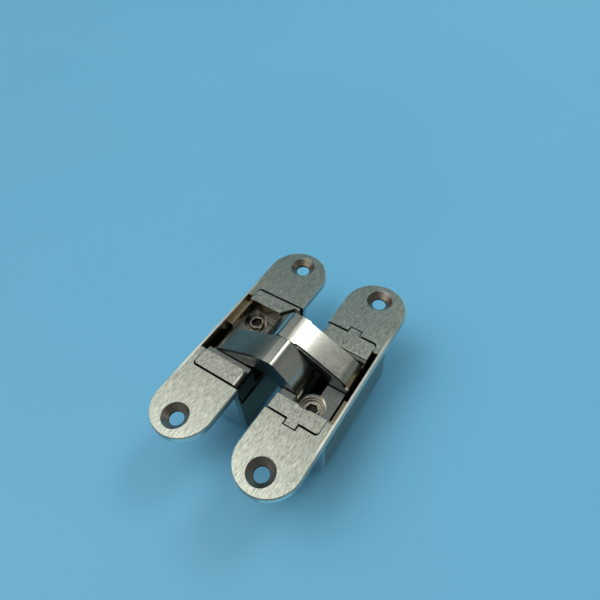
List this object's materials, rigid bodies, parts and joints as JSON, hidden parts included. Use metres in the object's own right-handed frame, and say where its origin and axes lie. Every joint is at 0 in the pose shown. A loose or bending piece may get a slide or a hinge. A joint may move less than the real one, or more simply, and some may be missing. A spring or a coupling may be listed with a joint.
{
  "type": "concealed door hinge",
  "caption": "Concealed door hinge with two round-ended leaves, crossed curved arms on sliding and fixed pivots, adjustable carriages and countersunk fixing holes.",
  "frame": {"origin": "middle of the hinge in plan, at the level of the housing backs, with the hinge opened flat", "axes": "+X from the first leaf to the second leaf, +Y along the leaves, parallel to the pivot pins, +Z out of the face plates"},
  "size_m": [0.0744, 0.117, 0.0501],
  "materials": {
    "plate_metal": "satin nickel plating on a zinc casting, brushed along the leaf",
    "block_metal": "satin nickel plating with a coarse brush",
    "arm_metal": "smooth satin nickel plating",
    "screw_metal": "bright nickel",
    "pin_metal": "ground steel",
    "bush_polymer": "matt"
  },
  "bodies": {
    "left_leaf": {"left_housing": "plate_metal"},
    "left_insert": {"left_carriage": "block_metal", "left_pivot_pin": "pin_metal", "left_pivot_clip": "pin_metal"},
    "clamp": {"clamp_screw": "screw_metal", "clamp_washer": "screw_metal"},
    "arm_rear": {"rear_arm": "arm_metal", "left_pivot_bush": "bush_polymer", "cross_pin": "pin_metal", "cross_washer": "bush_polymer", "rear_slide_pin": "pin_metal"},
    "wheel_rear": {"rear_roller": "bush_polymer"},
    "arm_front": {"front_arm": "arm_metal", "right_pivot_bush": "bush_polymer", "front_slide_pin": "pin_metal"},
    "wheel_front": {"front_roller": "bush_polymer"},
    "right_insert": {"right_carriage": "block_metal", "right_pivot_pin": "pin_metal", "right_pivot_clip": "pin_metal", "depth_collar": "screw_metal"},
    "lifter": {"depth_screw": "screw_metal"},
    "right_leaf": {"right_housing": "plate_metal"}
  },
  "joints": [
    {"name": "side_setting", "type": "slide", "parent": "left_leaf", "child": "left_insert", "axis": [1, 0, 0], "range_m": [0, 0.0015]},
    {"name": "clamp_turn", "type": "hinge", "parent": "left_leaf", "child": "clamp", "pos_m": [-0.0262, 0.0122, 0.0257], "axis": [0, 0, 1], "range_deg": [0, 360]},
    {"name": "left_pivot", "type": "hinge", "parent": "left_insert", "child": "arm_rear", "pos_m": [-0.0112, 0.0004, 0.032], "axis": [0, -1, 0], "range_deg": [0, 105]},
    {"name": "cross_pivot", "type": "hinge", "parent": "arm_rear", "child": "arm_front", "pos_m": [0, 0.0004, 0.0455], "axis": [0, -1, 0], "range_deg": [-30.5, 0.5]},
    {"name": "right_pivot", "type": "hinge", "parent": "arm_front", "child": "right_insert", "pos_m": [0.0112, 0.0004, 0.032], "axis": [0, -1, 0], "range_deg": [-0.5, 105.5]},
    {"name": "rear_wheel_turn", "type": "hinge", "parent": "arm_rear", "child": "wheel_rear", "pos_m": [0.0272, 0.0004, 0.0325], "axis": [0, 1, 0], "continuous": true},
    {"name": "front_wheel_turn", "type": "hinge", "parent": "arm_front", "child": "wheel_front", "pos_m": [-0.0272, 0.0004, 0.0325], "axis": [0, 1, 0], "continuous": true},
    {"name": "depth_setting", "type": "slide", "parent": "right_insert", "child": "right_leaf", "axis": [0, 0, 1], "range_m": [-0.001, 0.001]},
    {"name": "lifter_turn", "type": "hinge", "parent": "right_insert", "child": "lifter", "pos_m": [0.0217, -0.0124, 0.0246], "axis": [0, 0, 1], "range_deg": [-361, 361]}
  ],
  "couplings": [
    {"joint": "cross_pivot", "follows": "left_pivot", "ratio": -0.28571},
    {"joint": "right_pivot", "follows": "left_pivot", "ratio": 1},
    {"joint": "lifter_turn", "follows": "depth_setting", "rad_per_m": 6283.2}
  ]
}
